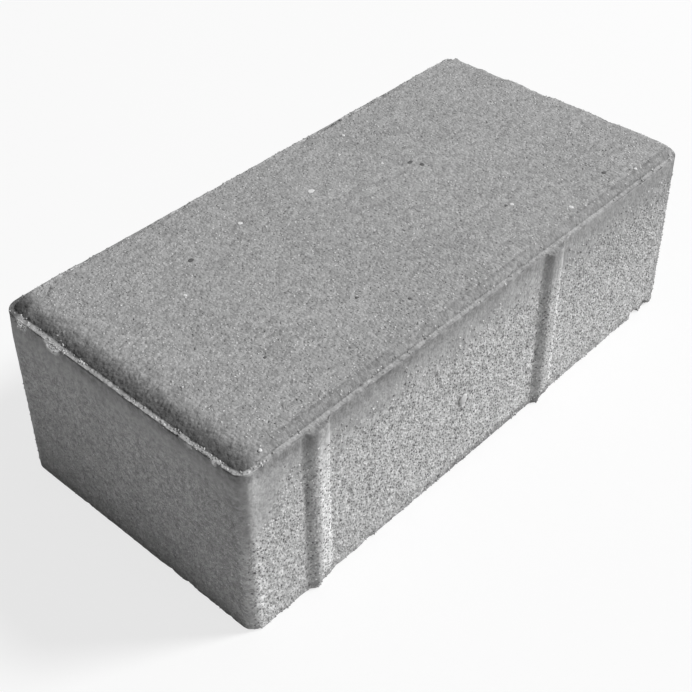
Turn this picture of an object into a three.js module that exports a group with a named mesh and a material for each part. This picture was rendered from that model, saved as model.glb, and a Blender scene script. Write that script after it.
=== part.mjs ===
// Rectangular concrete paving block, pressed in a mould as one piece.
//
// Laid in a 200 x 100 mm module: the block's body is 198 x 98 mm, and the spacer ribs on one
// long side keep the joint to the next block open.
//
// Frame, in millimetres: the origin is on the bedding face, under the middle of the whole
// block with its ribs. +X runs along the block's length, +Z points up, out of the walked-on
// face, and the ribs face -Y.

import * as THREE from 'three';

// ---- driving dimensions, millimetres ----

// The block's body, without its ribs.
const blockLength = 198;
const blockWidth = 98;
const blockHeight = 62;

// Upright corners. The one where the near end meets the ribbed side is crisper than the others.
const cornerRadius = 6.5;
const crispCornerRadius = 4.5;

// A narrow level ledge runs round the block, where the tamper head meets the mould's wall.
const ledgeWidth = 1.4;

// From the ledge the arris curves up into the walked-on face. It is tight on three sides, and
// broad and shallow at the near end, which faces -X.
const arrisDrop = 2.5;
const arrisWidth = 2.5;
const nearArrisWidth = 9.1;
const topCornerRadius = 2.2;

// Worn round at the foot of the sides.
const footRadius = 0.8;

// Spacer ribs: upright, from the bedding face up to the ledge. The width is across the foot
// of the rib, and the crest's is between its shoulders before they are rounded.
const ribProud = 2;
const ribWidth = 9.8;
const ribCrestWidth = 3.2;
const ribShoulderRadius = 2;
const ribFromEnd = 26;
const ribSpacing = 101;
const ribCount = 2;

// Facets.
const cornerSteps = 8;
const arrisSteps = 8;
const footSteps = 3;
const shoulderSteps = 4;

// ---- finish ----

const concreteGrey = 0x8f8f8d;
const concreteRoughness = 0.95;

// ---- outlines, as seen from above ----

// Points on an arc, both ends included.
function arcPoints(centre, radius, fromAngle, toAngle, steps) {
  const points = [];
  for (let step = 0; step <= steps; step++) {
    const angle = THREE.MathUtils.lerp(fromAngle, toAngle, step / steps);
    points.push(new THREE.Vector2(
      centre.x + radius * Math.cos(angle),
      centre.y + radius * Math.sin(angle),
    ));
  }
  return points;
}

// Section of one rib: x runs along the block's side from the rib's middle, and y out from
// the side. Two straight flanks and a flat crest, with round shoulders between them.
function ribSection() {
  const flankRun = (ribWidth - ribCrestWidth) / 2;
  const flankAngle = Math.atan2(ribProud, flankRun);
  const shoulderRun = ribShoulderRadius * Math.tan(flankAngle / 2);
  const shoulder = new THREE.Vector2(
    ribCrestWidth / 2 - shoulderRun,
    ribProud - ribShoulderRadius,
  );
  const upright = Math.PI / 2;
  const far = arcPoints(
    shoulder, ribShoulderRadius, upright, upright - flankAngle, shoulderSteps,
  );
  const half = [...far, new THREE.Vector2(ribWidth / 2, 0)];
  const mirrored = half.map((point) => new THREE.Vector2(-point.x, point.y)).reverse();
  return [...mirrored, ...half];
}

// The ribs along the front side, which faces -Y. An outline with no ribs has the same
// points, left on its straight side.
function frontPoints(sideY, withRibs) {
  const points = [];
  for (let rib = 0; rib < ribCount; rib++) {
    const middle = -blockLength / 2 + ribFromEnd + rib * ribSpacing;
    for (const { x, y } of ribSection()) {
      points.push(new THREE.Vector2(middle + x, sideY - (withRibs ? y : 0)));
    }
  }
  return points;
}

// The block's outline, counter-clockwise, drawn in by inset from three sides of its body and
// by nearInset from the near end. The near corners are rounder by as much as that end is
// drawn in further. radius is that of the two far corners.
function outline({ inset, nearInset = inset, radius, withRibs }) {
  const near = nearInset - blockLength / 2;
  const far = blockLength / 2 - inset;
  const halfWidth = blockWidth / 2 - inset;
  const nearRadius = radius + nearInset - inset;
  const crispRadius = nearRadius - (cornerRadius - crispCornerRadius);
  const corner = (x, signY, cornerRound, fromAngle) => arcPoints(
    new THREE.Vector2(x, signY * (halfWidth - cornerRound)),
    cornerRound, fromAngle, fromAngle + Math.PI / 2, cornerSteps,
  );
  return [
    ...corner(near + crispRadius, -1, crispRadius, Math.PI),
    ...frontPoints(-halfWidth, withRibs),
    ...corner(far - radius, -1, radius, -Math.PI / 2),
    ...corner(far - radius, 1, radius, 0),
    ...corner(near + nearRadius, 1, nearRadius, Math.PI / 2),
  ];
}

// ---- level rings, from the bedding face up ----

function footRings() {
  const rings = [];
  for (let step = 0; step < footSteps; step++) {
    const angle = (Math.PI / 2) * (step / footSteps);
    const inset = footRadius * (1 - Math.sin(angle));
    rings.push({
      height: footRadius * (1 - Math.cos(angle)),
      points: outline({ inset, radius: cornerRadius - inset, withRibs: true }),
    });
  }
  return rings;
}

function sideRings(ledgeHeight) {
  return [footRadius, ledgeHeight].map((height) => ({
    height,
    points: outline({ inset: 0, radius: cornerRadius, withRibs: true }),
  }));
}

// How far the arris has run in from the ledge where it is still drop below the walked-on face.
// Its section is an arc that ends level in that face.
function arrisRun(width, drop) {
  const arcRadius = (width ** 2 + arrisDrop ** 2) / (2 * arrisDrop);
  return width - Math.sqrt(Math.max(drop * (2 * arcRadius - drop), 0));
}

// The first ring is the ledge's inner edge, so the ledge also closes the ribs' tops.
function arrisRings() {
  const rings = [];
  for (let step = 0; step <= arrisSteps; step++) {
    const share = step / arrisSteps;
    const drop = arrisDrop * (1 - Math.sin((Math.PI / 2) * share));
    const height = blockHeight - drop;
    const inset = ledgeWidth + arrisRun(arrisWidth, drop);
    const nearInset = ledgeWidth + arrisRun(nearArrisWidth, drop);
    const radius = THREE.MathUtils.lerp(cornerRadius - ledgeWidth, topCornerRadius, share);
    rings.push({ height, points: outline({ inset, nearInset, radius, withRibs: false }) });
  }
  return rings;
}

// ---- the block ----

// Closed body through the rings: a band of triangles between each pair, and a flat cap at
// each end.
function loftGeometry(rings) {
  const around = rings[0].points.length;
  const positions = rings.flatMap(({ points, height }) => (
    points.flatMap((point) => [point.x, point.y, height])
  ));

  const indices = [];
  for (let ring = 0; ring < rings.length - 1; ring++) {
    const low = ring * around;
    const high = low + around;
    for (let side = 0; side < around; side++) {
      const next = (side + 1) % around;
      indices.push(low + side, low + next, high + next);
      indices.push(low + side, high + next, high + side);
    }
  }

  const topStart = (rings.length - 1) * around;
  const bottomCap = THREE.ShapeUtils.triangulateShape(rings[0].points, []);
  const topCap = THREE.ShapeUtils.triangulateShape(rings[rings.length - 1].points, []);
  bottomCap.forEach(([a, b, c]) => indices.push(a, c, b));
  topCap.forEach(([a, b, c]) => indices.push(topStart + a, topStart + b, topStart + c));

  const geometry = new THREE.BufferGeometry();
  geometry.setAttribute('position', new THREE.Float32BufferAttribute(positions, 3));
  geometry.setIndex(indices);
  geometry.computeVertexNormals();
  return geometry;
}

function pavingBlock() {
  const concrete = new THREE.MeshStandardMaterial({
    color: concreteGrey,
    roughness: concreteRoughness,
    metalness: 0,
  });
  const block = new THREE.Mesh(
    loftGeometry([...footRings(), ...sideRings(blockHeight - arrisDrop), ...arrisRings()]),
    concrete,
  );
  block.name = 'paving_block';
  block.position.y = ribProud / 2;
  return block;
}

const model = new THREE.Group();
model.add(pavingBlock());

export default model;
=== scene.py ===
"""Looks of a pressed concrete paving block: its weathered mesh, the sand and pebbles that stand in
it, the crumbs on its ledge, and a studio.

Lengths are in metres, written as millimetres times MM. +X runs along the block, +Z is up and
the spacer ribs face -Y.
"""

import math
from types import SimpleNamespace

import bmesh
import bpy
import numpy as np
from mathutils import Euler, Matrix, Vector, noise
from mathutils.geometry import delaunay_2d_cdt


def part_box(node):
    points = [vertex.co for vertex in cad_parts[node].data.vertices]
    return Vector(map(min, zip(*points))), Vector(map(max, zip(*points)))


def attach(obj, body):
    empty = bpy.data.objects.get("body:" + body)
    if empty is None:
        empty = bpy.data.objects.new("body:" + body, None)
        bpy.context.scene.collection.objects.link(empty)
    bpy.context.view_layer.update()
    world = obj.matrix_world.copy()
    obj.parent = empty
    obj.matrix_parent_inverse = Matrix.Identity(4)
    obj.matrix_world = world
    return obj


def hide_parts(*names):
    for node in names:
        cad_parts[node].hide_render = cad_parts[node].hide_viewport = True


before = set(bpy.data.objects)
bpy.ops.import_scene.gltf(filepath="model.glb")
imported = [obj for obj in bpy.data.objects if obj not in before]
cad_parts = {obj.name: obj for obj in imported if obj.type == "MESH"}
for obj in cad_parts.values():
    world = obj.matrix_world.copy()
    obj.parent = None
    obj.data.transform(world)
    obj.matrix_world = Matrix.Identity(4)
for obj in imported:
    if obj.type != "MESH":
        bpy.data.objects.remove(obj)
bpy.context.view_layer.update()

MM = 0.001

# ---- the block's form, as in the CAD ----

low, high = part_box("paving_block")
RIB_PROUD = 2 * MM
CORNER_RADIUS = 6.5 * MM
CRISP_CORNER_RADIUS = 4.5 * MM
LEDGE_WIDTH = 1.4 * MM
ARRIS_DROP = 2.5 * MM
ARRIS_WIDTH = 2.5 * MM
NEAR_ARRIS_WIDTH = 9.1 * MM
TOP_CORNER_RADIUS = 2.2 * MM
FOOT_RADIUS = 0.8 * MM
# The ledge's outer edge is sharp in the CAD and has this radius here.
LIP_RADIUS = 0.35 * MM

RIB_WIDTH = 9.8 * MM
RIB_CREST = 3.2 * MM
RIB_FROM_END = 26 * MM
RIB_SPACING = 101 * MM
RIB_COUNT = 2
# The power of the curve from a rib's foot to its crest, which rounds its shoulders.
RIB_CURVE = 1.3

HEIGHT = 62 * MM
LEDGE_HEIGHT = HEIGHT - ARRIS_DROP
HALF_LENGTH = (high.x - low.x) / 2
HALF_WIDTH = (high.y - low.y - RIB_PROUD) / 2
MIDDLE_Y = high.y - HALF_WIDTH
RIBBED_WALL = low.y + RIB_PROUD
RIB_PLACES = [low.x + RIB_FROM_END + rib * RIB_SPACING for rib in range(RIB_COUNT)]

# ---- how fine the mesh is ----

WALL_STEP = 0.8 * MM
LEDGE_STEP = 0.36 * MM
TOP_STEP = 0.86 * MM
BED_STEP = 2.6 * MM
CORNER_STEPS = 12
ARRIS_STEPS = 10
# The arris has its first ring this share of the way up its curve.
ARRIS_START = 0.02
FOOT_STEPS = 3
LIP_STEPS = 2

SEED = 7

# The block's own map: the height of each strip of walls, how much of the width the top takes
# beside the bedding face, and the gap between them.
MAP_STRIP = 0.30
MAP_TOP = 0.66
MAP_GAP = 0.006

# The points inside a cap keep this share of a step off the box round its outline, and are then
# shifted by up to the second share.
CAP_MARGIN = 0.6
CAP_JITTER = 0.3
# Caps are triangulated only inside their outline, and points closer than this are one.
INSIDE_ONLY = 1
SAME_POINT = 1e-9
# A step may be this share longer, so that rounding never adds one.
STEP_SLACK = 1e-6


# ---- small helpers ----


def add(tree, kind, inputs=(), output=0, **settings):
    """Adds a node with its settings, and its inputs' values or links. Returns one of its outputs,
    or the node itself where it has none or output is None."""
    node = tree.nodes.new(kind)
    for name, value in settings.items():
        setattr(node, name, value)
    for key, value in dict(inputs).items():
        if isinstance(value, bpy.types.NodeSocket):
            tree.links.new(value, node.inputs[key])
        else:
            node.inputs[key].default_value = value
    return node.outputs[output] if node.outputs and output is not None else node


def linear(code):
    """A colour written as sRGB hex, as the linear RGBA that a shader's socket takes."""
    parts = [int(code[place : place + 2], 16) / 255 for place in (1, 3, 5)]
    return [c / 12.92 if c <= 0.04045 else ((c + 0.055) / 1.055) ** 2.4 for c in parts] + [1]


def spread(stops, step):
    """Even steps no longer than step between the stops, which are all kept."""
    parts = []
    for start, end in zip(stops, stops[1:]):
        count = max(1, math.ceil(abs(end - start) / step - STEP_SLACK))
        parts.append(np.linspace(start, end, count, endpoint=False))
    return np.append(np.concatenate(parts), stops[-1])


# ---- the block's clean mesh ----


def rib_height(along):
    """How far the ribs stand out of the wall at these places along it."""
    height = np.zeros_like(along)
    flank = (RIB_WIDTH - RIB_CREST) / 2
    for middle in RIB_PLACES:
        rise = np.clip((RIB_WIDTH / 2 - np.abs(along - middle)) / flank, 0, 1)
        height = np.maximum(height, RIB_PROUD * np.sin(rise * math.pi / 2) ** RIB_CURVE)
    return height


# Outward directions of the walls: ribbed side, far end, plain side and near end.
WALLS = np.array([(0, -1), (1, 0), (0, 1), (-1, 0)])


def wall_columns():
    """Where the columns stand on each wall's straight stretch, as shares of it from its start."""
    long_run = HALF_LENGTH - CORNER_RADIUS
    short_run = HALF_WIDTH - CORNER_RADIUS
    stops = [-long_run]
    for middle in RIB_PLACES:
        stops += [middle + side for side in (-RIB_WIDTH / 2, -RIB_CREST / 2)]
        stops += [middle + side for side in (RIB_CREST / 2, RIB_WIDTH / 2)]
    ribbed = spread([*stops, long_run], WALL_STEP)
    plain = spread([-long_run, long_run], WALL_STEP)
    short = spread([-short_run, short_run], WALL_STEP)
    walls = (ribbed, short, plain, short)
    return [(places - places[0]) / (places[-1] - places[0]) for places in walls]


COLUMNS = wall_columns()


def ring(inset, near_inset, radius, rib_share):
    """One level outline, counter-clockwise from above, drawn in by inset from three walls and by
    near_inset from the near end, whose corners are rounder by the difference. radius is that of
    the two far corners, and the corner between the near end and the ribs is crisper."""
    lowest = np.array([-HALF_LENGTH + near_inset, MIDDLE_Y - HALF_WIDTH + inset])
    highest = np.array([HALF_LENGTH - inset, MIDDLE_Y + HALF_WIDTH - inset])
    near_radius = radius + near_inset - inset
    crisp_radius = near_radius - (CORNER_RADIUS - CRISP_CORNER_RADIUS)
    corners = [
        ((lowest[0] + crisp_radius, lowest[1] + crisp_radius), crisp_radius),
        ((highest[0] - radius, lowest[1] + radius), radius),
        ((highest[0] - radius, highest[1] - radius), radius),
        ((lowest[0] + near_radius, highest[1] - near_radius), near_radius),
    ]
    points = []
    for wall, outward in enumerate(WALLS):
        (start, start_radius), (end, end_radius) = corners[wall], corners[(wall + 1) % 4]
        start = np.array(start) + start_radius * outward
        centre = np.array(end)
        end = centre + end_radius * outward
        straight = start + np.outer(COLUMNS[wall], end - start)
        if wall == 0:
            straight[:, 1] -= rib_share * rib_height(straight[:, 0])
        facing = math.atan2(outward[1], outward[0])
        angles = facing + np.linspace(0, math.pi / 2, CORNER_STEPS + 1)[1:-1]
        arc = centre + end_radius * np.stack([np.cos(angles), np.sin(angles)], axis=1)
        points += [straight, arc]
    return np.concatenate(points)


def profile():
    """The rings from the bedding face up. Each is its height, its inset, its inset at the near
    end, its corner radius, its share of the ribs and its zone."""
    rings = []
    for angle in np.linspace(0, math.pi / 2, FOOT_STEPS, endpoint=False):
        inset = FOOT_RADIUS * (1 - math.sin(angle))
        height = FOOT_RADIUS * (1 - math.cos(angle))
        rings.append((height, inset, inset, CORNER_RADIUS - inset, 1, "wall"))
    for height in spread([FOOT_RADIUS, LEDGE_HEIGHT - LIP_RADIUS], WALL_STEP):
        rings.append((height, 0, 0, CORNER_RADIUS, 1, "wall"))
    for angle in np.linspace(0, math.pi / 2, LIP_STEPS + 1)[1:]:
        height = LEDGE_HEIGHT + LIP_RADIUS * (math.sin(angle) - 1)
        inset = LIP_RADIUS * (1 - math.cos(angle))
        rings.append((height, inset, inset, CORNER_RADIUS - inset, 1, "ledge"))
    for inset in spread([LIP_RADIUS, LEDGE_WIDTH], LEDGE_STEP)[1:]:
        ribs = 1 - inset / LEDGE_WIDTH
        rings.append((LEDGE_HEIGHT, inset, inset, CORNER_RADIUS - inset, ribs, "ledge"))
    widths = (ARRIS_WIDTH, NEAR_ARRIS_WIDTH)
    arcs = [(width**2 + ARRIS_DROP**2) / (2 * ARRIS_DROP) for width in widths]
    for share in [ARRIS_START, *np.linspace(0, 1, ARRIS_STEPS + 1)[1:]]:
        drop = ARRIS_DROP * (1 - math.sin(math.pi / 2 * share))
        runs = [width - math.sqrt(drop * (2 * arc - drop)) for width, arc in zip(widths, arcs)]
        inset, near_inset = (LEDGE_WIDTH + run for run in runs)
        radius = np.interp(share, [0, 1], [CORNER_RADIUS - LEDGE_WIDTH, TOP_CORNER_RADIUS])
        rings.append((HEIGHT - drop, inset, near_inset, radius, 0, "arris"))
    return rings


def cap(outline, step, height, rng):
    """Triangles that close a ring with jittered points inside it. Returns the points that it
    adds, and the faces, which number the ring's points first."""
    lowest = outline.min(axis=0) + step * CAP_MARGIN
    highest = outline.max(axis=0) - step * CAP_MARGIN
    counts = np.round((highest - lowest) / step).astype(int) + 1
    xs, ys = (np.linspace(lowest[axis], highest[axis], counts[axis]) for axis in (0, 1))
    grid = np.stack(np.meshgrid(xs, ys), axis=-1).reshape(-1, 2)
    grid += rng.uniform(-CAP_JITTER, CAP_JITTER, grid.shape) * step
    both = [Vector(point) for point in np.concatenate([outline, grid])]
    edges = [(point, (point + 1) % len(outline)) for point in range(len(outline))]
    made = delaunay_2d_cdt(both, edges, [], INSIDE_ONLY, SAME_POINT)
    triangles, sources = made[2], made[3]
    faces = [[sources[corner][0] for corner in triangle] for triangle in triangles]
    return np.column_stack([grid, np.full(len(grid), height)]), faces


def unrolled(rings, outlines, rng):
    """The walls' triangles and where their corners lie on the block's own map. The walls, ledge
    and arris lie on it as two strips, the ribbed side with the far end below the other two."""
    around = len(outlines[0])
    above_foot = next(level for level, shape in enumerate(rings) if shape[0] >= FOOT_RADIUS)
    widest = outlines[above_foot]
    steps = np.linalg.norm(np.roll(widest, -1, axis=0) - widest, axis=1)
    along = np.concatenate([[0], np.cumsum(steps)])
    shifts = [upper - lower for lower, upper in zip(outlines, outlines[1:])]
    shifts = [np.linalg.norm(shift, axis=1).mean() for shift in shifts]
    lifts = [upper[0] - lower[0] for lower, upper in zip(rings, rings[1:])]
    up = np.concatenate([[0], np.cumsum(np.hypot(shifts, lifts))])
    half_way = 2 * CORNER_STEPS - 2 + len(COLUMNS[0]) + len(COLUMNS[1])
    strip = max(along[half_way], along[-1] - along[half_way])

    columns = np.arange(around)
    second = columns >= half_way
    left = np.where(second, along[:-1] - along[half_way], along[:-1]) / strip
    right = np.where(second, along[1:] - along[half_way], along[1:]) / strip
    quads, places = [], []
    for level in range(len(rings) - 1):
        here = columns + level * around
        onward = np.roll(here, -1)
        quads.append(np.stack([here, onward, onward + around, here + around], axis=1))
        bottom = MAP_STRIP * (second + up[level] / up[-1])
        top = MAP_STRIP * (second + up[level + 1] / up[-1])
        corners = [(left, bottom), (right, bottom), (right, top), (left, top)]
        places.append(np.stack([np.stack(corner, axis=1) for corner in corners], axis=1))

    # Each quad is split along either diagonal by chance, so that the relief has no grain.
    quads, places = np.concatenate(quads), np.concatenate(places) * (1 - MAP_GAP)
    flipped = rng.random(len(quads)) < 0.5
    one_way = ([0, 1, 2], [0, 2, 3])
    other_way = ([0, 1, 3], [1, 2, 3])
    faces = [quads[~flipped][:, corners] for corners in one_way]
    faces += [quads[flipped][:, corners] for corners in other_way]
    on_map = [places[~flipped][:, corners] for corners in one_way]
    on_map += [places[flipped][:, corners] for corners in other_way]
    return np.concatenate(faces).tolist(), np.concatenate(on_map).reshape(-1, 2)


# The parts of the block's surface, each of which is an attribute of its points.
ZONES = ("wall", "ledge", "arris", "top", "bed")


def clean_block():
    """The closed block, before any wear, with a point attribute for each zone and its own map."""
    rng = np.random.default_rng(SEED)
    rings = profile()
    outlines = [ring(*shape) for _, *shape, _ in rings]
    around = len(outlines[0])
    heights = [np.full(around, height) for height, *_ in rings]
    points = [np.column_stack(both) for both in zip(outlines, heights)]
    zones = [np.full(around, zone) for *_, zone in rings]
    faces, places = unrolled(rings, outlines, rng)
    places = [places]

    for level, step, zone in ((0, BED_STEP, "bed"), (len(rings) - 1, TOP_STEP, "top")):
        extra, triangles = cap(points[level][:, :2], step, rings[level][0], rng)
        start = sum(len(part) for part in points)
        numbers = [*range(level * around, (level + 1) * around), *range(start, start + len(extra))]
        named = [[numbers[corner] for corner in triangle] for triangle in triangles]
        flat = np.concatenate([points[level], extra])[:, :2]
        if zone == "bed":
            named = [corners[::-1] for corners in named]
            triangles = [corners[::-1] for corners in triangles]
        faces += named
        points.append(extra)
        zones.append(np.full(len(extra), zone))
        share = (flat - flat.min(axis=0)) / np.ptp(flat, axis=0)
        left, width = (0, MAP_TOP - MAP_GAP) if zone == "top" else (MAP_TOP, 1 - MAP_TOP)
        share = share * (width, 1 - 2 * MAP_STRIP - MAP_GAP) + (left, 2 * MAP_STRIP + MAP_GAP)
        places.append(share[np.concatenate(triangles)])

    mesh = bpy.data.meshes.new("concrete_block")
    mesh.from_pydata(np.concatenate(points).tolist(), [], faces)
    block_map = mesh.uv_layers.new(name="OFBake")
    block_map.uv.foreach_set("vector", np.concatenate(places).astype(np.float32).ravel())
    zones = np.concatenate(zones)
    for zone in ZONES:
        values = mesh.attributes.new(zone, "FLOAT", "POINT")
        values.data.foreach_set("value", (zones == zone).astype(np.float32))
    mesh.polygons.foreach_set("use_smooth", np.ones(len(mesh.polygons), bool))
    mesh.update()
    piece = bpy.data.objects.new("concrete_block", mesh)
    bpy.context.scene.collection.objects.link(piece)
    return piece


# ---- Geometry Nodes trees ----

# The kind of socket that takes each kind of value.
SOCKET_KINDS = {
    int: "NodeSocketInt",
    float: "NodeSocketFloat",
    str: "NodeSocketString",
    tuple: "NodeSocketVector",
}


def sized_tree(name, inputs):
    """A Geometry Nodes tree with these named inputs, and the sockets that give them."""
    tree = bpy.data.node_groups.new(name, "GeometryNodeTree")
    tree.interface.new_socket("Geometry", in_out="INPUT", socket_type="NodeSocketGeometry")
    for label, value in inputs.items():
        kind = SOCKET_KINDS[type(value)]
        tree.interface.new_socket(label, in_out="INPUT", socket_type=kind)
    tree.interface.new_socket("Geometry", in_out="OUTPUT", socket_type="NodeSocketGeometry")
    return tree, add(tree, "NodeGroupInput", output=None).outputs


def run_tree(piece, tree, inputs):
    """Runs a tree on a piece with these inputs and keeps the result as its mesh."""
    modifier = piece.modifiers.new(tree.name, "NODES")
    modifier.node_group = tree
    for item in tree.interface.items_tree:
        if item.in_out == "INPUT" and item.name in inputs:
            modifier[item.identifier] = inputs[item.name]
    graph = bpy.context.evaluated_depsgraph_get()
    mesh = bpy.data.meshes.new_from_object(piece.evaluated_get(graph))
    piece.modifiers.clear()
    piece.data = mesh


# ---- patterns, in geometry and in finishes ----


def over(start, end):
    """The settings of a map that begins at start and ends at end."""
    return {"From Min": start, "From Max": end}


def past_near_end(start, end):
    """The same, for a stretch along the block that is measured from its near end."""
    return over(start - HALF_LENGTH, end - HALF_LENGTH)


# The least and greatest radius of a pit as shares of a cell, and how much of it its floor takes.
PIT_RADII = (0.10, 0.38)
PIT_FLOOR = 0.45


def pits(tree, place, spacing, share):
    """1 in the middle of round pits and 0 between them. Cells stand about spacing apart, and this
    share of them holds a pit of its own size."""
    cells = add(tree, "ShaderNodeTexVoronoi", {"Vector": place, "Scale": 1 / spacing}, output=None)
    chance = add(tree, "ShaderNodeSeparateXYZ", {0: cells.outputs["Color"]})
    rim = {"Value": chance, "From Min": 1 - share, "To Min": PIT_RADII[0], "To Max": PIT_RADII[1]}
    rim = add(tree, "ShaderNodeMapRange", rim)
    floor = add(tree, "ShaderNodeMath", {0: rim, 1: PIT_FLOOR}, operation="MULTIPLY")
    bowl = {"Value": cells.outputs["Distance"], **over(rim, floor)}
    bowl = add(tree, "ShaderNodeMapRange", bowl, interpolation_type="SMOOTHSTEP")
    held = add(tree, "ShaderNodeMath", {0: chance, 1: 1 - share}, operation="GREATER_THAN")
    return add(tree, "ShaderNodeMath", {0: bowl, 1: held}, operation="MULTIPLY")


def wobbled(tree, place, size, reach):
    """The place, shifted by about half of reach, a little more or less from one spot to the next,
    so that patterns laid out there are uneven."""
    shift = {"Vector": place, "Scale": 1 / size, "Detail": 1}
    shift = add(tree, "ShaderNodeTexNoise", shift, output="Color")
    shift = add(tree, "ShaderNodeVectorMath", {0: shift, "Scale": reach}, operation="SCALE")
    return add(tree, "ShaderNodeVectorMath", {0: place, 1: shift}, operation="ADD")


# How strong each finer layer of rough relief is, as a share of the coarser one before it.
FINER_SHARE = 0.6


def rough(tree, place, size, detail, flat, peak):
    """Uneven relief whose largest lumps are about size across: 0 up to the noise's flat value
    and 1 from its peak."""
    value = {"Vector": place, "Scale": 1 / size, "Detail": detail, "Roughness": FINER_SHARE}
    value = add(tree, "ShaderNodeTexNoise", value)
    return add(tree, "ShaderNodeMapRange", {"Value": value, **over(flat, peak)})


def deeper(tree, depth, pattern, size, where):
    """The depth with one more layer of wear: a pattern this deep, where the mask is 1."""
    wear = add(tree, "ShaderNodeMath", {0: pattern, 1: size}, operation="MULTIPLY")
    return add(tree, "ShaderNodeMath", {0: wear, 1: where, 2: depth}, operation="MULTIPLY_ADD")


# ---- wear, in Geometry Nodes ----


def on_block(tree):
    """Where each point of the block lies, which way it faces, whether it is in each zone, and how
    far it stands proud of the ribbed side."""
    place = add(tree, "GeometryNodeInputPosition")
    along, across, height = add(tree, "ShaderNodeSeparateXYZ", {0: place}, output=None).outputs
    at = SimpleNamespace(place=place, along=along, across=across, height=height)
    at.facing = add(tree, "GeometryNodeInputNormal")
    for zone in ZONES:
        share = add(tree, "GeometryNodeInputNamedAttribute", {"Name": zone}, data_type="FLOAT")
        setattr(at, zone, share)
    proud = {"Value": across, **over(RIBBED_WALL, low.y), "To Max": RIB_PROUD}
    at.proud = add(tree, "ShaderNodeMapRange", proud)
    return at


# Open texture is full up to the first height and dies out at the second, within so much. Over
# this stretch before the near end it comes to end lower, by the last height.
OPEN_FULL = 40 * MM
OPEN_END = 56.5 * MM
OPEN_RAGGED = 5 * MM
SMOOTH_CORNER = (13 * MM, 5 * MM)
SMOOTH_CORNER_LOWER = 14 * MM


def texture_of_walls(tree, at):
    """1 where the walls' texture is open, and 0 in the smooth band above it."""
    ragged = rough(tree, at.place, size=7 * MM, detail=3, flat=0.25, peak=0.75)
    ragged = deeper(tree, at.height, ragged, OPEN_RAGGED, 1)
    by_corner = {"Value": at.along, **past_near_end(*SMOOTH_CORNER)}
    by_corner = add(tree, "ShaderNodeMapRange", by_corner)
    ragged = deeper(tree, ragged, by_corner, SMOOTH_CORNER_LOWER, 1)
    full = OPEN_FULL + OPEN_RAGGED / 2
    end = OPEN_END + OPEN_RAGGED / 2
    open_texture = {"Value": ragged, **over(end, full), "To Max": at.wall}
    return add(tree, "ShaderNodeMapRange", open_texture, interpolation_type="SMOOTHSTEP")


# Bites are out of the arris towards the plain side, but not near the block's near end, and out
# of the whole arris in its far part.
BITES_ACROSS = (25 * MM, 40 * MM)
BITES_OFF_END = (13 * MM, 20 * MM)
BITES_ALONG = (60 * MM, 85 * MM)


def bitten_edges(tree, at):
    """1 on the parts of the arris that have bites out of them."""
    past_middle = {"Value": at.across, **over(*BITES_ACROSS), "To Max": at.arris}
    past_middle = add(tree, "ShaderNodeMapRange", past_middle)
    off_end = add(tree, "ShaderNodeMapRange", {"Value": at.along, **past_near_end(*BITES_OFF_END)})
    past_middle = add(tree, "ShaderNodeMath", {0: past_middle, 1: off_end}, operation="MULTIPLY")
    far_part = {"Value": at.along, **over(*BITES_ALONG), "To Max": at.arris}
    far_part = add(tree, "ShaderNodeMapRange", far_part)
    return add(tree, "ShaderNodeMath", {0: past_middle, 1: far_part}, operation="MAXIMUM")


# How far the near end's lip leans in, how much of that its outer edge does, the height where the
# lean starts, and how far from the end it has died out. It grows over one stretch across the
# block, and over another it ends but for the last share.
LIP_LEAN = 1.15 * MM
OUTER_LEAN = 0.6
LEAN_HEIGHT = 50 * MM
LEAN_REACH = 9 * MM
LEAN_GROWS = (-10 * MM, 44 * MM)
LEAN_ENDS = (44 * MM, 49 * MM)
LEAN_LEFT = 0.2


def leaning_lip(tree, at):
    """How far the near end's lip leans inwards, which is more towards the plain side."""
    from_end = add(tree, "ShaderNodeMath", {0: at.along, 1: HALF_LENGTH}, operation="ADD")
    lean = {"Value": at.height, **over(LEAN_HEIGHT, LEDGE_HEIGHT), "To Max": OUTER_LEAN}
    lean = add(tree, "ShaderNodeMapRange", lean, interpolation_type="SMOOTHSTEP")
    inner = {"Value": from_end, **over(0, LEDGE_WIDTH), "To Max": 1 - OUTER_LEAN}
    inner = add(tree, "ShaderNodeMapRange", inner)
    level = add(tree, "ShaderNodeMath", {0: at.ledge, 1: at.arris}, operation="ADD")
    lean = deeper(tree, lean, inner, 1, level)
    near_lip = {"Value": from_end, **over(LEAN_REACH, LEDGE_WIDTH)}
    grown = {"Value": at.across, **over(*LEAN_GROWS), "To Max": LIP_LEAN}
    ended = {"Value": at.across, **over(*LEAN_ENDS), "To Min": 1, "To Max": LEAN_LEFT}
    for fade in (near_lip, grown, ended):
        share = add(tree, "ShaderNodeMapRange", fade)
        lean = add(tree, "ShaderNodeMath", {0: lean, 1: share}, operation="MULTIPLY")
    return lean


# The foot of each rib is broken off: how far past the rib's middle, where the break is
# complete, how far up it reaches and how ragged its edge is.
BROKEN_FOOT_PAST = 2.8 * MM
BROKEN_FOOT_FULL = 2.5 * MM
BROKEN_FOOT_REACH = 8.0 * MM
BROKEN_FOOT_RAGGED = 2.0 * MM


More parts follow.
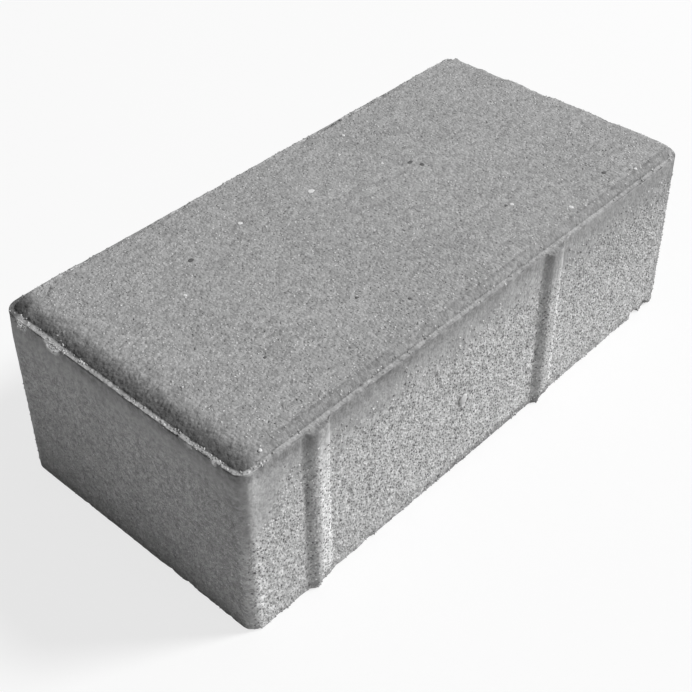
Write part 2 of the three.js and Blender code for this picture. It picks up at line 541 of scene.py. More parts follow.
def broken_rib_feet(tree, at, crumble):
    """How much is broken off at the ribs' feet of what stands proud of the ribbed side."""
    on_side = add(tree, "ShaderNodeCombineXYZ", {"X": at.along, "Z": at.height})
    broken_back = 0
    for middle in RIB_PLACES:
        away = {0: on_side, 1: (middle + BROKEN_FOOT_PAST, 0, 0)}
        away = add(tree, "ShaderNodeVectorMath", away, output="Value", operation="DISTANCE")
        away = deeper(tree, away, crumble, BROKEN_FOOT_RAGGED, 1)
        broken = {"Value": away, **over(BROKEN_FOOT_REACH, BROKEN_FOOT_FULL)}
        broken = add(tree, "ShaderNodeMapRange", broken, interpolation_type="SMOOTHSTEP")
        broken_back = deeper(tree, broken_back, broken, 1, at.proud)
    return broken_back


# Crumbs of the lip that spilt over the top of the near end's wall: where, and how far they reach.
SPILT_CRUMBS = {
    "by_the_corner": ((-99 * MM, 40.5 * MM, 58.8 * MM), 2.5 * MM),
    "further_on": ((-99 * MM, 26.5 * MM, 60.6 * MM), 4.6 * MM),
    "by_the_ribbed_side": ((-99 * MM, -38 * MM, 59.6 * MM), 1.5 * MM),
    "beside_it": ((-99 * MM, -29 * MM, 59.6 * MM), 1.3 * MM),
}
SPILT_EDGE = 0.8 * MM
SPILT_WOBBLE = 3.0 * MM
# A face this level holds no spilt crumbs, and one this steep holds them all.
SPILT_FACING = (0.95, 0.5)


def spilt_crumbs(tree, at):
    """1 on the crumbs that spilt over the lip of the near end's wall."""
    upwards = add(tree, "ShaderNodeSeparateXYZ", {0: at.facing}, output=2)
    upright = add(tree, "ShaderNodeMapRange", {"Value": upwards, **over(*SPILT_FACING)})
    crooked = wobbled(tree, at.place, size=2.0 * MM, reach=SPILT_WOBBLE)
    shift_back = [SPILT_WOBBLE / 2] * 3
    crooked = add(tree, "ShaderNodeVectorMath", {0: crooked, 1: shift_back}, operation="SUBTRACT")
    spilt = 0
    for middle, reach in SPILT_CRUMBS.values():
        away = {0: crooked, 1: middle}
        away = add(tree, "ShaderNodeVectorMath", away, output="Value", operation="DISTANCE")
        patch = {"Value": away, **over(reach, reach - SPILT_EDGE), "To Max": upright}
        patch = add(tree, "ShaderNodeMapRange", patch)
        spilt = add(tree, "ShaderNodeMath", {0: spilt, 1: patch}, operation="MAXIMUM")
    return spilt


# The near end's broad arris is darkened this far in, partly as dirt and partly as painted shade, and
# sand shows in the arris past it. Along the ribbed side only the last share of it does, up to this
# stretch across the block.
DARK_ARRIS_END = 8.4 * MM
SAND_FADES_IN = 3 * MM
OVER_RIBS = (-45.5 * MM, -43 * MM)
SAND_OVER_RIBS = 0.12


def sand_in_sight(tree, at):
    """How much sand stands in the surface: on top, in open texture and in the arris past the near
    end's dark band.
    """
    past_dark_band = past_near_end(DARK_ARRIS_END, DARK_ARRIS_END + SAND_FADES_IN)
    arris_past_band = {"Value": at.along, **past_dark_band, "To Max": at.arris}
    arris_past_band = add(tree, "ShaderNodeMapRange", arris_past_band)
    over_ribs = {"Value": at.across, **over(*OVER_RIBS), "To Min": SAND_OVER_RIBS, "To Max": 1}
    over_ribs = add(tree, "ShaderNodeMapRange", over_ribs)
    arris_past_band = add(tree, "ShaderNodeMath", {0: arris_past_band, 1: over_ribs}, operation="MULTIPLY")
    sandy = add(tree, "ShaderNodeMath", {0: at.top, 1: at.open_texture}, operation="ADD")
    return add(tree, "ShaderNodeMath", {0: sandy, 1: arris_past_band}, operation="ADD")


# Crumbs lie in clumps on the ledge, mostly by the near end, and thickly round one corner.
CRUMBS_ALONG = (12 * MM, 8 * MM)
CRUMBS_ELSEWHERE = 0.25
CRUMBLY_CORNER = (-97 * MM, -39 * MM, 59.5 * MM)
CRUMBLY_CORNER_REACH = (12 * MM, 9 * MM)


def crumbs_on_ledge(tree, at, spilt):
    """How thickly crumbs lie: on the ledge, and where they spilt over it."""
    clumps = rough(tree, at.place, size=5 * MM, detail=2, flat=0.42, peak=0.58)
    near = {"Value": at.along, **past_near_end(*CRUMBS_ALONG)}
    near = add(tree, "ShaderNodeMapRange", near | {"To Min": CRUMBS_ELSEWHERE, "To Max": 1})
    clumps = add(tree, "ShaderNodeMath", {0: clumps, 1: near}, operation="MULTIPLY")
    away = {0: at.place, 1: CRUMBLY_CORNER}
    away = add(tree, "ShaderNodeVectorMath", away, output="Value", operation="DISTANCE")
    on_corner = add(tree, "ShaderNodeMapRange", {"Value": away, **over(*CRUMBLY_CORNER_REACH)})
    clumps = add(tree, "ShaderNodeMath", {0: clumps, 1: on_corner}, operation="MAXIMUM")
    return add(tree, "ShaderNodeMath", {0: clumps, 1: at.ledge, 2: spilt}, operation="MULTIPLY_ADD")


# The foot is chipped up to this height, and more over this stretch at the far end.
FOOT_REACH = 4.5 * MM
WORN_END = (62 * MM, 90 * MM)
# Open texture has this share of its depth on the ends, and this on the ribs' crests.
END_SHARE = 0.15
CREST_SHARE = 0.35


def worn_zones(tree, at):
    """Adds to what is known of each point whether it is in a zone that wears in its own way."""
    foot = {"Value": at.height, **over(FOOT_REACH, 0), "To Max": at.wall}
    at.foot = add(tree, "ShaderNodeMapRange", foot, interpolation_type="SMOOTHSTEP")
    worn_end = {"Value": at.along, **over(*WORN_END), "To Max": at.foot}
    at.worn_end = add(tree, "ShaderNodeMapRange", worn_end, interpolation_type="SMOOTHSTEP")
    at.all_but_bed = add(tree, "ShaderNodeMath", {0: 1, 1: at.bed}, operation="SUBTRACT")
    at.bitten = bitten_edges(tree, at)
    at.open_texture = texture_of_walls(tree, at)
    sideways = add(tree, "ShaderNodeSeparateXYZ", {0: at.facing}, output=1)
    sideways = add(tree, "ShaderNodeMath", {0: sideways}, operation="ABSOLUTE")
    at.long_side = add(tree, "ShaderNodeMath", {0: sideways, 1: at.wall}, operation="MULTIPLY")
    on_crest = {"Value": at.proud, "From Max": RIB_PROUD, "To Min": 1, "To Max": CREST_SHARE}
    on_crest = add(tree, "ShaderNodeMapRange", on_crest)
    deep = {"Value": at.long_side, "To Min": END_SHARE, "To Max": on_crest}
    deep = add(tree, "ShaderNodeMapRange", deep)
    at.deep = add(tree, "ShaderNodeMath", {0: deep, 1: at.open_texture}, operation="MULTIPLY")


def worn_patterns(tree, place):
    """The patterns of the wear, each 0 where the surface is whole and 1 where it is worn most."""
    uneven = wobbled(tree, place, size=2.6 * MM, reach=2.4 * MM)
    wall_pits = pits(tree, uneven, spacing=3.0 * MM, share=0.55)
    clusters = rough(tree, place, size=9 * MM, detail=2, flat=0.40, peak=0.58)
    return SimpleNamespace(
        grit=rough(tree, place, size=2.3 * MM, detail=3, flat=0.30, peak=0.75),
        wave=rough(tree, place, size=38 * MM, detail=1, flat=0.30, peak=0.70),
        crumble=rough(tree, place, size=3.4 * MM, detail=3, flat=0.36, peak=0.72),
        bites=rough(tree, place, size=11 * MM, detail=3, flat=0.50, peak=0.72),
        chips=rough(tree, place, size=5.0 * MM, detail=4, flat=0.54, peak=0.74),
        slabs=rough(tree, place, size=8.0 * MM, detail=3, flat=0.49, peak=0.54),
        pits=add(tree, "ShaderNodeMath", {0: wall_pits, 1: clusters}, operation="MULTIPLY"),
    )


def worn_depth(tree, given, at, wear):
    """How deep each point is worn, by all the patterns together."""
    fine_grit = {0: wear.grit, 1: given["Fine grit depth"]}
    depth = add(tree, "ShaderNodeMath", fine_grit, operation="MULTIPLY")
    for pattern, name, where in (
        (wear.wave, "Wave depth", at.all_but_bed),
        (wear.grit, "Grit depth", at.deep),
        (wear.pits, "Pit depth", at.deep),
        (wear.pits, "Pit depth", at.bed),
        (wear.crumble, "Crumble depth", at.ledge),
        (wear.crumble, "Arris crumble depth", at.arris),
        (wear.bites, "Bite depth", at.bitten),
        (wear.chips, "Chip depth", at.foot),
        (wear.chips, "Worn end chip depth", at.worn_end),
        (wear.slabs, "Slab depth", at.worn_end),
    ):
        depth = deeper(tree, depth, pattern, given[name], where)
    return depth


def worn_offset(tree, given, at, wear, depth):
    """How each point moves: the whole surface is sunk by its wear, the near end's lip also leans
    along the block, the ribs break back across it and the chipped foot goes up."""
    sunk = deeper(tree, depth, given["Skin"], 1, at.all_but_bed)
    away = add(tree, "ShaderNodeMath", {0: sunk, 1: -1}, operation="MULTIPLY")
    inwards = add(tree, "ShaderNodeVectorMath", {0: at.facing, "Scale": away}, operation="SCALE")
    chipped_up = deeper(tree, 0, wear.chips, given["Chip depth"], at.foot)
    chipped_up = deeper(tree, chipped_up, wear.slabs, given["Slab depth"], at.worn_end)
    broken_back = broken_rib_feet(tree, at, wear.crumble)
    moved = {"X": leaning_lip(tree, at), "Y": broken_back, "Z": chipped_up}
    moved = add(tree, "ShaderNodeCombineXYZ", moved)
    return add(tree, "ShaderNodeVectorMath", {0: inwards, 1: moved}, operation="ADD")


# How deep each kind of wear goes. These are the inputs of the tree that wears the block.
WEAR = {
    "Grit depth": 0.30 * MM,
    "Fine grit depth": 0.08 * MM,
    "Pit depth": 0.60 * MM,
    "Crumble depth": 0.50 * MM,
    "Arris crumble depth": 0.25 * MM,
    "Bite depth": 1.60 * MM,
    "Chip depth": 0.45 * MM,
    "Worn end chip depth": 1.40 * MM,
    "Slab depth": 1.50 * MM,
    "Wave depth": 0.12 * MM,
    "Skin": 0.05 * MM,
}
# Wear this deep counts as a hollow for the finish.
HOLLOW_DEPTH = 0.6 * MM


def wear_tree():
    """Wears the block: pits and grit in the walls below their smooth band, a crumbled ledge and
    arris, a leaning lip, a chipped foot and ribs with broken feet. The attributes that it leaves
    are for the finish and the grains of sand."""
    tree, given = sized_tree("concrete_wear", WEAR)
    at = on_block(tree)
    worn_zones(tree, at)
    wear = worn_patterns(tree, at.place)
    depth = worn_depth(tree, given, at, wear)
    spilt = spilt_crumbs(tree, at)
    kept_for_later = {
        "hollow": add(tree, "ShaderNodeMapRange", {"Value": depth, "From Max": HOLLOW_DEPTH}),
        "open_texture": at.open_texture,
        "long_side": at.long_side,
        "sandy": sand_in_sight(tree, at),
        "crumbly": crumbs_on_ledge(tree, at, spilt),
        "spilt": spilt,
    }
    geometry = given["Geometry"]
    for name, value in kept_for_later.items():
        kept = {"Geometry": geometry, "Name": name, "Value": value}
        geometry = add(tree, "GeometryNodeStoreNamedAttribute", kept, data_type="FLOAT")
    offset = worn_offset(tree, given, at, wear, depth)
    geometry = add(tree, "GeometryNodeSetPosition", {"Geometry": geometry, "Offset": offset})
    add(tree, "NodeGroupOutput", {"Geometry": geometry})
    return tree


# ---- finishes ----


def painted(name, colour, roughness):
    """A new material with one plain colour."""
    material = bpy.data.materials.new(name)
    material.use_nodes = True
    tree = material.node_tree
    tree.nodes.clear()
    shader = {"Base Color": linear(colour), "Roughness": roughness}
    shader = add(tree, "ShaderNodeBsdfPrincipled", shader)
    add(tree, "ShaderNodeOutputMaterial", {"Surface": shader})
    return material


def toned(tree, tone, pattern, start, end, where=1):
    """The tone, times start where the pattern is 0 and times end where it is 1, as far as the mask
    goes."""
    factor = add(tree, "ShaderNodeMapRange", {"Value": pattern, "To Min": start, "To Max": end})
    kept = add(tree, "ShaderNodeMix", {0: where, 2: 1.0, 3: factor}, data_type="FLOAT")
    return add(tree, "ShaderNodeMath", {0: tone, 1: kept}, operation="MULTIPLY")


# Going down, the ends' walls turn rough over this stretch of heights. Of the grain, this much is
# left in a smooth wall and this much in an open or rough one, of the clots this much on the ends,
# and of the pits this much in the ribs, which count as such where they stand out by the last.
ROUGH_END = (55 * MM, 45 * MM)
SMOOTH_GRAIN = 0.5
ROUGH_GRAIN = 0.9
CLOTS_ON_END = 0.15
PITS_IN_RIBS = 0.12
RIB_FROM = 0.25 * MM


def on_surface(tree):
    """Where each point of the finish lies, and what kind of surface is there."""
    place = add(tree, "ShaderNodeTexCoord", output="Object")
    along, across, height = add(tree, "ShaderNodeSeparateXYZ", {0: place}, output=None).outputs
    at = SimpleNamespace(place=place, along=along, across=across, height=height)
    at.from_end = add(tree, "ShaderNodeMath", {0: along, 1: HALF_LENGTH}, operation="ADD")
    at.from_side = add(tree, "ShaderNodeMath", {0: across, 1: RIBBED_WALL}, operation="SUBTRACT")
    for name in ("wall", "ledge", "arris", "top", "hollow", "open_texture", "long_side", "spilt"):
        setattr(at, name, add(tree, "ShaderNodeAttribute", output="Fac", attribute_name=name))

    ribbed = {"Value": across, **over(RIBBED_WALL, RIBBED_WALL - RIB_FROM)}
    at.ribbed = add(tree, "ShaderNodeMapRange", ribbed)
    open_side = {"Value": at.ribbed, "To Min": at.long_side, "To Max": PITS_IN_RIBS}
    open_side = add(tree, "ShaderNodeMapRange", open_side)
    at.pitted = add(tree, "ShaderNodeMath", {0: at.open_texture, 1: open_side}, operation="MULTIPLY")
    at.end_wall = add(tree, "ShaderNodeMath", {0: at.wall, 1: at.long_side}, operation="SUBTRACT")
    at.smooth = add(tree, "ShaderNodeMath", {0: at.wall, 1: at.pitted}, operation="SUBTRACT")
    flat = add(tree, "ShaderNodeMath", {0: 1, 1: at.ribbed}, operation="SUBTRACT")
    at.flat_wall = add(tree, "ShaderNodeMath", {0: flat, 1: at.smooth}, operation="MULTIPLY")
    rough_end = {"Value": height, **over(*ROUGH_END), "To Max": at.end_wall}
    at.rough_end = add(tree, "ShaderNodeMapRange", rough_end)

    grain = add(tree, "ShaderNodeMath", {0: at.open_texture, 1: at.rough_end}, operation="MAXIMUM")
    grain = {"Value": grain, "To Min": SMOOTH_GRAIN, "To Max": ROUGH_GRAIN}
    grain = add(tree, "ShaderNodeMapRange", grain)
    at.grainy = add(tree, "ShaderNodeMapRange", {"Value": at.smooth, "To Min": 1, "To Max": grain})
    clotted = {"Value": at.end_wall, "To Min": 1, "To Max": CLOTS_ON_END}
    at.clotted = add(tree, "ShaderNodeMapRange", clotted)
    return at


SAND_SIZE = 1.25 * MM
FINES_SIZE = 0.6 * MM
# Places that are squeezed so along the height draw a pattern out into upright streaks.
STREAKED = (1, 1, 0.08)


def grains_and_pores(tree, place):
    """The patterns in the paste: sand of about 1 mm, each grain in its own grey, the finer sand
    between, clots and clouds of it, pores, and streaks where the block slid out of its mould."""
    cells = add(tree, "ShaderNodeTexVoronoi", {"Vector": place, "Scale": 1 / SAND_SIZE}, output=None)
    uneven = wobbled(tree, place, size=1.2 * MM, reach=1.1 * MM)
    drawn_out = add(tree, "ShaderNodeVectorMath", {0: place, 1: STREAKED}, operation="MULTIPLY")
    return SimpleNamespace(
        from_grain=cells.outputs["Distance"],
        grain_grey=add(tree, "ShaderNodeSeparateXYZ", {0: cells.outputs["Color"]}),
        fines=rough(tree, place, size=FINES_SIZE, detail=1, flat=0.25, peak=0.75),
        clots=rough(tree, place, size=2.2 * MM, detail=2, flat=0.25, peak=0.75),
        mottle=rough(tree, place, size=12 * MM, detail=3, flat=0.25, peak=0.75),
        cloud=rough(tree, place, size=45 * MM, detail=1, flat=0.25, peak=0.75),
        speckle=rough(tree, place, size=0.5 * MM, detail=1, flat=0.3, peak=0.7),
        pinholes=pits(tree, uneven, spacing=2.6 * MM, share=0.45),
        pores=rough(tree, uneven, size=1.7 * MM, detail=2, flat=0.50, peak=0.66),
        streaks=rough(tree, drawn_out, size=2.2 * MM, detail=2, flat=0.3, peak=0.7),
        bands=rough(tree, drawn_out, size=9 * MM, detail=2, flat=0.3, peak=0.7),
    )


def paste_and_sand(tree, at, seen):
    """The tone of the concrete's paste and sand, with painted shade in its pinholes, pores and
    hollows, and with spilt crumbs paler, partly as painted light.
    """
    tone = toned(tree, 1, seen.grain_grey, 0.80, 1.20, at.grainy)
    tone = toned(tree, tone, seen.fines, 0.88, 1.12, at.grainy)
    tone = toned(tree, tone, seen.clots, 0.92, 1.08, at.clotted)
    tone = toned(tree, tone, seen.mottle, 0.95, 1.05)
    tone = toned(tree, tone, seen.cloud, 0.97, 1.03)
    tone = toned(tree, tone, seen.streaks, 0.94, 1.06, at.wall)
    tone = toned(tree, tone, seen.bands, 0.95, 1.05, at.long_side)
    tone = toned(tree, tone, seen.speckle, 0.72, 1.28, at.rough_end)
    # Pinholes and pores are darker: painted shade in them.
    tone = toned(tree, tone, seen.pinholes, 1, 0.68, at.pitted)
    tone = toned(tree, tone, seen.pores, 1.04, 0.72, at.pitted)
    tone = toned(tree, tone, seen.pinholes, 1, 0.86, at.flat_wall)
    tone = toned(tree, tone, seen.pores, 1.015, 0.89, at.flat_wall)
    # Worn hollows are darker: painted shade in them.
    tone = toned(tree, tone, at.hollow, 1, 0.8)
    tone = toned(tree, tone, at.open_texture, 0.97, 1.56, at.long_side)
    tone = toned(tree, tone, at.end_wall, 1, 1.07)
    # Spilt crumbs are paler, partly by their own colour and partly as painted light on upright faces
    # that the key light leaves in shade.
    return toned(tree, tone, at.spilt, 1, 2.7)


# Painted shade comes in under the lip over these heights, and dies out over this stretch along the
# block. The ends' walls darken over the last heights.
LIP_SHADE = (53.5 * MM, 59.5 * MM)
LIP_SHADE_ENDS = (-30 * MM, 64 * MM)
END_DARKENS = (5 * MM, 50 * MM)


def shade_under_lip(tree, at, tone):
    """The tone with painted shade under the lip, in smudges at its very edge."""
    lip_shade = {"Value": at.height, **over(*LIP_SHADE), "To Max": at.wall}
    lip_shade = add(tree, "ShaderNodeMapRange", lip_shade, interpolation_type="SMOOTHSTEP")
    left = {"Value": at.along, **over(*LIP_SHADE_ENDS), "To Min": 1, "To Max": 0}
    left = add(tree, "ShaderNodeMapRange", left)
    lip_shade = add(tree, "ShaderNodeMath", {0: lip_shade, 1: left}, operation="MULTIPLY")
    unspilt = add(tree, "ShaderNodeMath", {0: 1, 1: at.spilt}, operation="SUBTRACT")
    lip_shade = add(tree, "ShaderNodeMath", {0: lip_shade, 1: unspilt}, operation="MULTIPLY")
    smudges = rough(tree, at.place, size=5 * MM, detail=3, flat=0.50, peak=0.62)
    blots = rough(tree, at.place, size=1.8 * MM, detail=2, flat=0.40, peak=0.62)
    on_end = add(tree, "ShaderNodeMath", {0: lip_shade, 1: at.end_wall}, operation="MULTIPLY")
    upwards = add(tree, "ShaderNodeMapRange", {"Value": at.height, **over(*END_DARKENS)})
    # Painted shade under the lip, deeper in smudges and blots at its edge and on the ends' walls.
    tone = toned(tree, tone, lip_shade, 1, 0.76)
    tone = toned(tree, tone, smudges, 1, 0.74, lip_shade)
    tone = toned(tree, tone, blots, 1.10, 0.80, lip_shade)
    tone = toned(tree, tone, on_end, 1, 0.94)
    return toned(tree, tone, upwards, 1.05, 0.94, at.end_wall)


# How near to the end the darkening, partly dirt and partly painted shade, is full, and how ragged
# its edge is. At the corner with the plain side, over this stretch across the block, it also covers
# the ledge, as far in as the last.
DARK_ARRIS_FULL = 2.0 * MM
DARK_ARRIS_RAGGED = 1.6 * MM
DARK_CORNER = (41.5 * MM, 44.0 * MM)
DARK_CORNER_REACH = (9 * MM, 6.5 * MM)


def dirt_and_shade_at_near_end(tree, at, tone):
    """The tone darkened in the broad arris at the near end, partly by dirt and partly as painted
    shade, and with the ledge paler.
    """
    ragged = rough(tree, at.place, size=3 * MM, detail=3, flat=0.3, peak=0.7)
    reach = deeper(tree, at.from_end, ragged, DARK_ARRIS_RAGGED, -1)
    dark_band = {"Value": reach, **over(DARK_ARRIS_END - DARK_ARRIS_RAGGED / 2, DARK_ARRIS_FULL)}
    dark_band = add(tree, "ShaderNodeMapRange", dark_band, interpolation_type="SMOOTHSTEP")
    top_and_arris = add(tree, "ShaderNodeMath", {0: at.top, 1: at.arris}, operation="ADD")
    by_end = add(tree, "ShaderNodeMapRange", {"Value": reach, **over(*DARK_CORNER_REACH)})
    corner = {"Value": at.across, **over(*DARK_CORNER), "To Max": by_end}
    corner = add(tree, "ShaderNodeMapRange", corner)
    # The broad arris and the top beside it darken, partly with dirt and partly as painted shade.
    tone = toned(tree, tone, dark_band, 1, 0.40, top_and_arris)
    tone = toned(tree, tone, corner, 1, 0.40, at.ledge)
    tone = toned(tree, tone, corner, 1, 0.58, top_and_arris)
    return toned(tree, tone, at.ledge, 1, 1.08)


# The ledge's outer rim ends this far in from the ribbed side's wall, and that side's arris this far.
# The long sides' arrises start this far past the near end. The ribbed side's is darker this far off
# the middle, and the plain side's lies here across the block.
RIM = (0.7 * MM, 0.3 * MM)
FRONT_ARRIS = (6 * MM, 4 * MM)
PAST_END = (5 * MM, 12 * MM)
OFF_MIDDLE = (35 * MM, 60 * MM)
BACK_ARRIS = (43 * MM, 46 * MM)


def long_arrises(tree, at, tone):
    """The tone with painted shade on the ledge's outer rim and a darker arris on the ribbed side,
    and with painted light on the plain side's arris, which faces away from the key light."""
    rim = add(tree, "ShaderNodeMapRange", {"Value": at.from_side, **over(*RIM), "To Max": at.ledge})
    past_end = add(tree, "ShaderNodeMapRange", {"Value": at.from_end, **over(*PAST_END)})
    on_front = {"Value": at.from_side, **over(*FRONT_ARRIS), "To Max": past_end}
    on_front = add(tree, "ShaderNodeMapRange", on_front)
    off_middle = add(tree, "ShaderNodeMath", {0: at.along}, operation="ABSOLUTE")
    off_middle = {"Value": off_middle, **over(*OFF_MIDDLE), "To Max": at.arris}
    off_middle = add(tree, "ShaderNodeMapRange", off_middle)
    on_back = {"Value": at.across, **over(*BACK_ARRIS), "To Max": past_end}
    on_back = add(tree, "ShaderNodeMapRange", on_back)
    # Painted shade on the ledge's outer rim.
    tone = toned(tree, tone, rim, 1, 0.86, on_front)
    tone = toned(tree, tone, at.arris, 1, 0.82, on_front)
    tone = toned(tree, tone, off_middle, 1, 0.91, on_front)
    # Painted light on the plain side's arris.
    return toned(tree, tone, at.arris, 1, 1.3, on_back)


# Where the painted highlight on each rib begins, past its middle, and over how much.
HIGHLIGHT_FROM = (-1.6 * MM, 0.2 * MM)
HIGHLIGHT_EDGE = 1.2 * MM


def ribs_with_painted_highlight(tree, at, tone):
    """The tone with a painted highlight on each rib from its crest to its far flank, which faces the
    key light, but not on top.
    """
    rib_top = add(tree, "ShaderNodeMath", {0: at.ribbed, 1: at.ledge}, operation="MULTIPLY")
    tone = toned(tree, tone, rib_top, 1, 0.85)
    rib_face = add(tree, "ShaderNodeMath", {0: at.ribbed, 1: at.wall}, operation="MULTIPLY")
    for middle, past in zip(RIB_PLACES, HIGHLIGHT_FROM):
        highlight = {"Value": at.along, **over(middle + past, middle + past + HIGHLIGHT_EDGE)}
        highlight = add(tree, "ShaderNodeMapRange", highlight)
        ended = {"Value": at.along, **over(middle + RIB_WIDTH, middle + RIB_WIDTH / 2)}
        ended = add(tree, "ShaderNodeMapRange", ended)
        highlight = add(tree, "ShaderNodeMath", {0: highlight, 1: ended}, operation="MULTIPLY")
        # Painted highlight on the rib's far flank.
        tone = toned(tree, tone, highlight, 1, 1.38, rib_face)
    return tone


# Painted shade reaches this high up the foot. It is full within the second distance of this place
# along the block, and past the first only so much is left. The far corners are also darker this near
# to their end, and the ends' walls have painted shade towards the ribbed side.
FOOT_SHADE_HEIGHT = (4.6 * MM, 1.2 * MM)
FOOT_SHADE_MIDDLE = 4 * MM
FOOT_SHADE_SPREAD = (34 * MM, 22 * MM)
FOOT_SHADE_ELSEWHERE = 0.35
FAR_CORNER = (8 * MM, 3 * MM)
NEAR_CORNER_ACROSS = (-5 * MM, -47 * MM)


def foot_and_corners_darkened(tree, at, tone):
    """The tone with painted shade along the foot and on the ends' walls towards the ribbed side, and
    with the far corners darker.
    """
    foot = {"Value": at.height, **over(*FOOT_SHADE_HEIGHT)}
    foot = add(tree, "ShaderNodeMapRange", foot, interpolation_type="SMOOTHSTEP")
    away = add(tree, "ShaderNodeMath", {0: at.along, 1: FOOT_SHADE_MIDDLE}, operation="SUBTRACT")
    away = add(tree, "ShaderNodeMath", {0: away}, operation="ABSOLUTE")
    shaded_stretch = {"Value": away, **over(*FOOT_SHADE_SPREAD), "To Min": FOOT_SHADE_ELSEWHERE, "To Max": 1}
    shaded_stretch = add(tree, "ShaderNodeMapRange", shaded_stretch)
    far_corner = {"Value": at.along, **over(*(HALF_LENGTH - inset for inset in FAR_CORNER))}
    far_corner = add(tree, "ShaderNodeMapRange", far_corner, interpolation_type="SMOOTHSTEP")
    near_corner = {"Value": at.across, **over(*NEAR_CORNER_ACROSS)}
    near_corner = add(tree, "ShaderNodeMapRange", near_corner)
    # Painted contact shade along the foot.
    tone = toned(tree, tone, foot, 1, 0.48, shaded_stretch)
    tone = toned(tree, tone, far_corner, 1, 0.62, at.long_side)
    # Painted shade on the ends' walls towards the ribbed side.
    return toned(tree, tone, near_corner, 1, 0.80, at.end_wall)


# The long sides are dull towards the far end and above these heights, but less so near the lip,
# and a little paler below the last heights.
DULL_ALONG = (5 * MM, 85 * MM)
DULL_HEIGHT = (18 * MM, 42 * MM)
NEAR_LIP = (45 * MM, 54 * MM)
NEAR_LIP_SHARE = 0.55
PALE_HEIGHT = (42 * MM, 22 * MM)


def dull_far_half(tree, at, tone):
    """The tone with the long sides dull towards the far end."""
    dull = add(tree, "ShaderNodeMapRange", {"Value": at.along, **over(*DULL_ALONG)})
    raised = {"Value": at.height, **over(*DULL_HEIGHT)}
    near_lip = {"Value": at.height, **over(*NEAR_LIP), "To Min": 1, "To Max": NEAR_LIP_SHARE}
    for fade in (raised, near_lip):
        share = add(tree, "ShaderNodeMapRange", fade)
        dull = add(tree, "ShaderNodeMath", {0: dull, 1: share}, operation="MULTIPLY")
    lower = add(tree, "ShaderNodeMapRange", {"Value": at.height, **over(*PALE_HEIGHT)})
    tone = toned(tree, tone, dull, 1, 0.81, at.long_side)
    return toned(tree, tone, lower, 1, 1.07, at.long_side)


# The upright corner between the near end and the ribbed side: where it lies across the block, where
# from the end its painted highlight begins and where that ends, and the wall beside it, which has
# painted light.
CORNER_HIGHLIGHT_ACROSS = (-41 * MM, -43 * MM)
CORNER_HIGHLIGHT_STARTS = (1.9 * MM, 2.7 * MM)
CORNER_HIGHLIGHT_ENDS = (6.5 * MM, 3.6 * MM)
BESIDE_CORNER = (17 * MM, 10 * MM)


def near_corner_painted_light(tree, at, tone):
    """The tone with painted shade, then a painted highlight, round the near upright corner on the
    ribbed side's half, and with painted light on the wall beside it.
    """
    by_corner = {"Value": at.across, **over(*CORNER_HIGHLIGHT_ACROSS), "To Max": at.wall}
    by_corner = add(tree, "ShaderNodeMapRange", by_corner)
    highlight = add(tree, "ShaderNodeMapRange", {"Value": at.from_end, **over(*CORNER_HIGHLIGHT_STARTS)})
    ended = add(tree, "ShaderNodeMapRange", {"Value": at.from_end, **over(*CORNER_HIGHLIGHT_ENDS)})
    highlight = add(tree, "ShaderNodeMath", {0: highlight, 1: ended}, operation="MULTIPLY")
    beside = {"Value": at.from_end, **over(*BESIDE_CORNER), "To Max": at.long_side}
    beside = add(tree, "ShaderNodeMapRange", beside)
    # Painted shade, then a painted highlight round the corner, which sharpen its turn from shade to
    # light.
    tone = toned(tree, tone, highlight, 0.93, 1.24, by_corner)
    return toned(tree, tone, beside, 1, 1.08, at.smooth)


# A grain's dome ends this far from its middle, as a share of a cell.
DOME_END = 0.6


def fine_relief(tree, at, seen):
    """Relief finer than the mesh holds, as a bump whose heights are in metres."""
    domes = {"Value": seen.from_grain, "From Max": DOME_END, "To Min": 1, "To Max": 0}
    domes = add(tree, "ShaderNodeMapRange", domes)
    relief = deeper(tree, 0, domes, 0.18 * MM, at.grainy)
    relief = deeper(tree, relief, seen.fines, 0.07 * MM, at.grainy)
    relief = deeper(tree, relief, seen.clots, 0.20 * MM, at.clotted)
    relief = deeper(tree, relief, seen.pinholes, -0.40 * MM, at.pitted)
    return add(tree, "ShaderNodeBump", {"Height": relief, "Distance": 1.0, "Strength": 1.0})


PASTE_GREY = "#a1a1a1"


def pressed_concrete():
    """Concrete pressed in a steel mould: a matt grey paste with sand showing in it, pinholes below a
    smooth band with painted shade in them, painted shade under the lip, the broad arris darkened
    partly by dirt and partly as painted shade, and a painted highlight on the ribs' far flanks."""
    material = bpy.data.materials.new("pressed_concrete")
    material.use_nodes = True
    tree = material.node_tree
    tree.nodes.clear()
    at = on_surface(tree)
    seen = grains_and_pores(tree, at.place)
    tone = paste_and_sand(tree, at, seen)
    for change in (
        shade_under_lip,
        dirt_and_shade_at_near_end,
        long_arrises,
        ribs_with_painted_highlight,
        foot_and_corners_darkened,
        dull_far_half,
        near_corner_painted_light,
    ):
        tone = change(tree, at, tone)
    grey = {0: linear(PASTE_GREY)[:3], "Scale": tone}
    grey = add(tree, "ShaderNodeVectorMath", grey, operation="SCALE")
    shader = {"Base Color": grey, "Roughness": 0.95, "Normal": fine_relief(tree, at, seen)}
    shader = add(tree, "ShaderNodeBsdfPrincipled", shader)
    add(tree, "ShaderNodeOutputMaterial", {"Surface": shader})
    return material


# ---- single pebbles ----

WHITE_STONE = ("white_quartz_pebble", "#dcdcdc", 0.6)
DARK_STONE = ("dark_basalt_pebble", "#5e5e5e", 0.8)
CEMENT = ("cement_lump", "#c6c6c6", 0.9)
